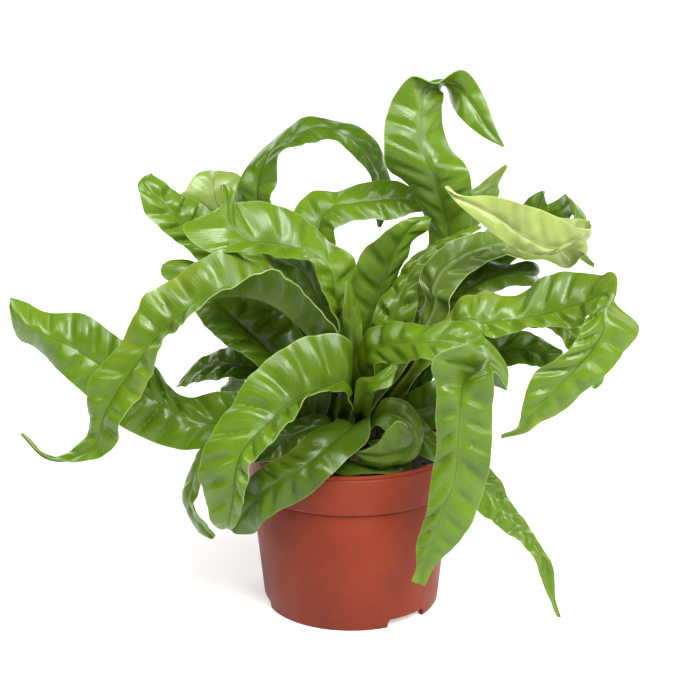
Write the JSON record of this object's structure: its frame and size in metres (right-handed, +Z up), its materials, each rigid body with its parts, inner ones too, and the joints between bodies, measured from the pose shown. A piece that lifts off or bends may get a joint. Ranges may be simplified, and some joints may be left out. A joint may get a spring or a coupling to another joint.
{
  "type": "potted fern",
  "caption": "Bird's-nest type fern with long, waved and twisted strap-shaped fronds, standing in a plain round plastic nursery pot.",
  "frame": {"origin": "centre of the pot's foot, on the surface that the pot stands on", "axes": "+Z up along the pot's axis, -Y towards the front of the plant, +X to the right seen from the front"},
  "size_m": [0.351, 0.2324, 0.3047],
  "materials": {
    "pot_plastic": "satin moulded terracotta-coloured plastic",
    "soil": "dark crumbly potting mix, rough",
    "crown_fibre": "dark brown matted root fibre, rough",
    "frond_green": "glossy waxy green leaf",
    "frond_yellow_green": "glossy waxy yellow-green leaf"
  },
  "bodies": {
    "root": {"pot": "pot_plastic", "soil": "soil", "crown": "crown_fibre", "frond_far_left": "frond_green", "frond_left_arch": "frond_green", "frond_upper_left_arch": "frond_green", "frond_mid_left": "frond_green", "frond_upper_left": "frond_green", "frond_pale_curl": "frond_yellow_green", "frond_small_dark_left": "frond_green", "frond_left_curl": "frond_green", "frond_high_loop": "frond_green", "frond_twisted_over": "frond_green", "frond_tall_top": "frond_green", "frond_behind_spike": "frond_green", "frond_centre_top": "frond_green", "frond_lit_right": "frond_green", "frond_yellow_fold": "frond_yellow_green", "frond_dark_curl_right": "frond_green", "frond_right_hanging": "frond_green", "frond_low_right": "frond_green", "frond_dark_behind_right": "frond_green", "frond_spike_behind_yellow": "frond_green", "frond_far_right_point": "frond_green", "frond_lower_right_trail": "frond_green", "frond_front_hanging": "frond_green", "frond_left_hanging": "frond_green", "frond_dark_over_rim": "frond_green", "frond_narrow_curl_left": "frond_green", "frond_front_curl": "frond_green", "frond_short_curl": "frond_green", "frond_low_left": "frond_green", "frond_along_rim": "frond_green", "frond_inner_right": "frond_green", "frond_furled_centre": "frond_green", "frond_rear_right": "frond_green", "frond_rear_right_inner": "frond_green", "frond_rear_left_inner": "frond_green", "frond_rear_left": "frond_green"}
  },
  "joints": []
}
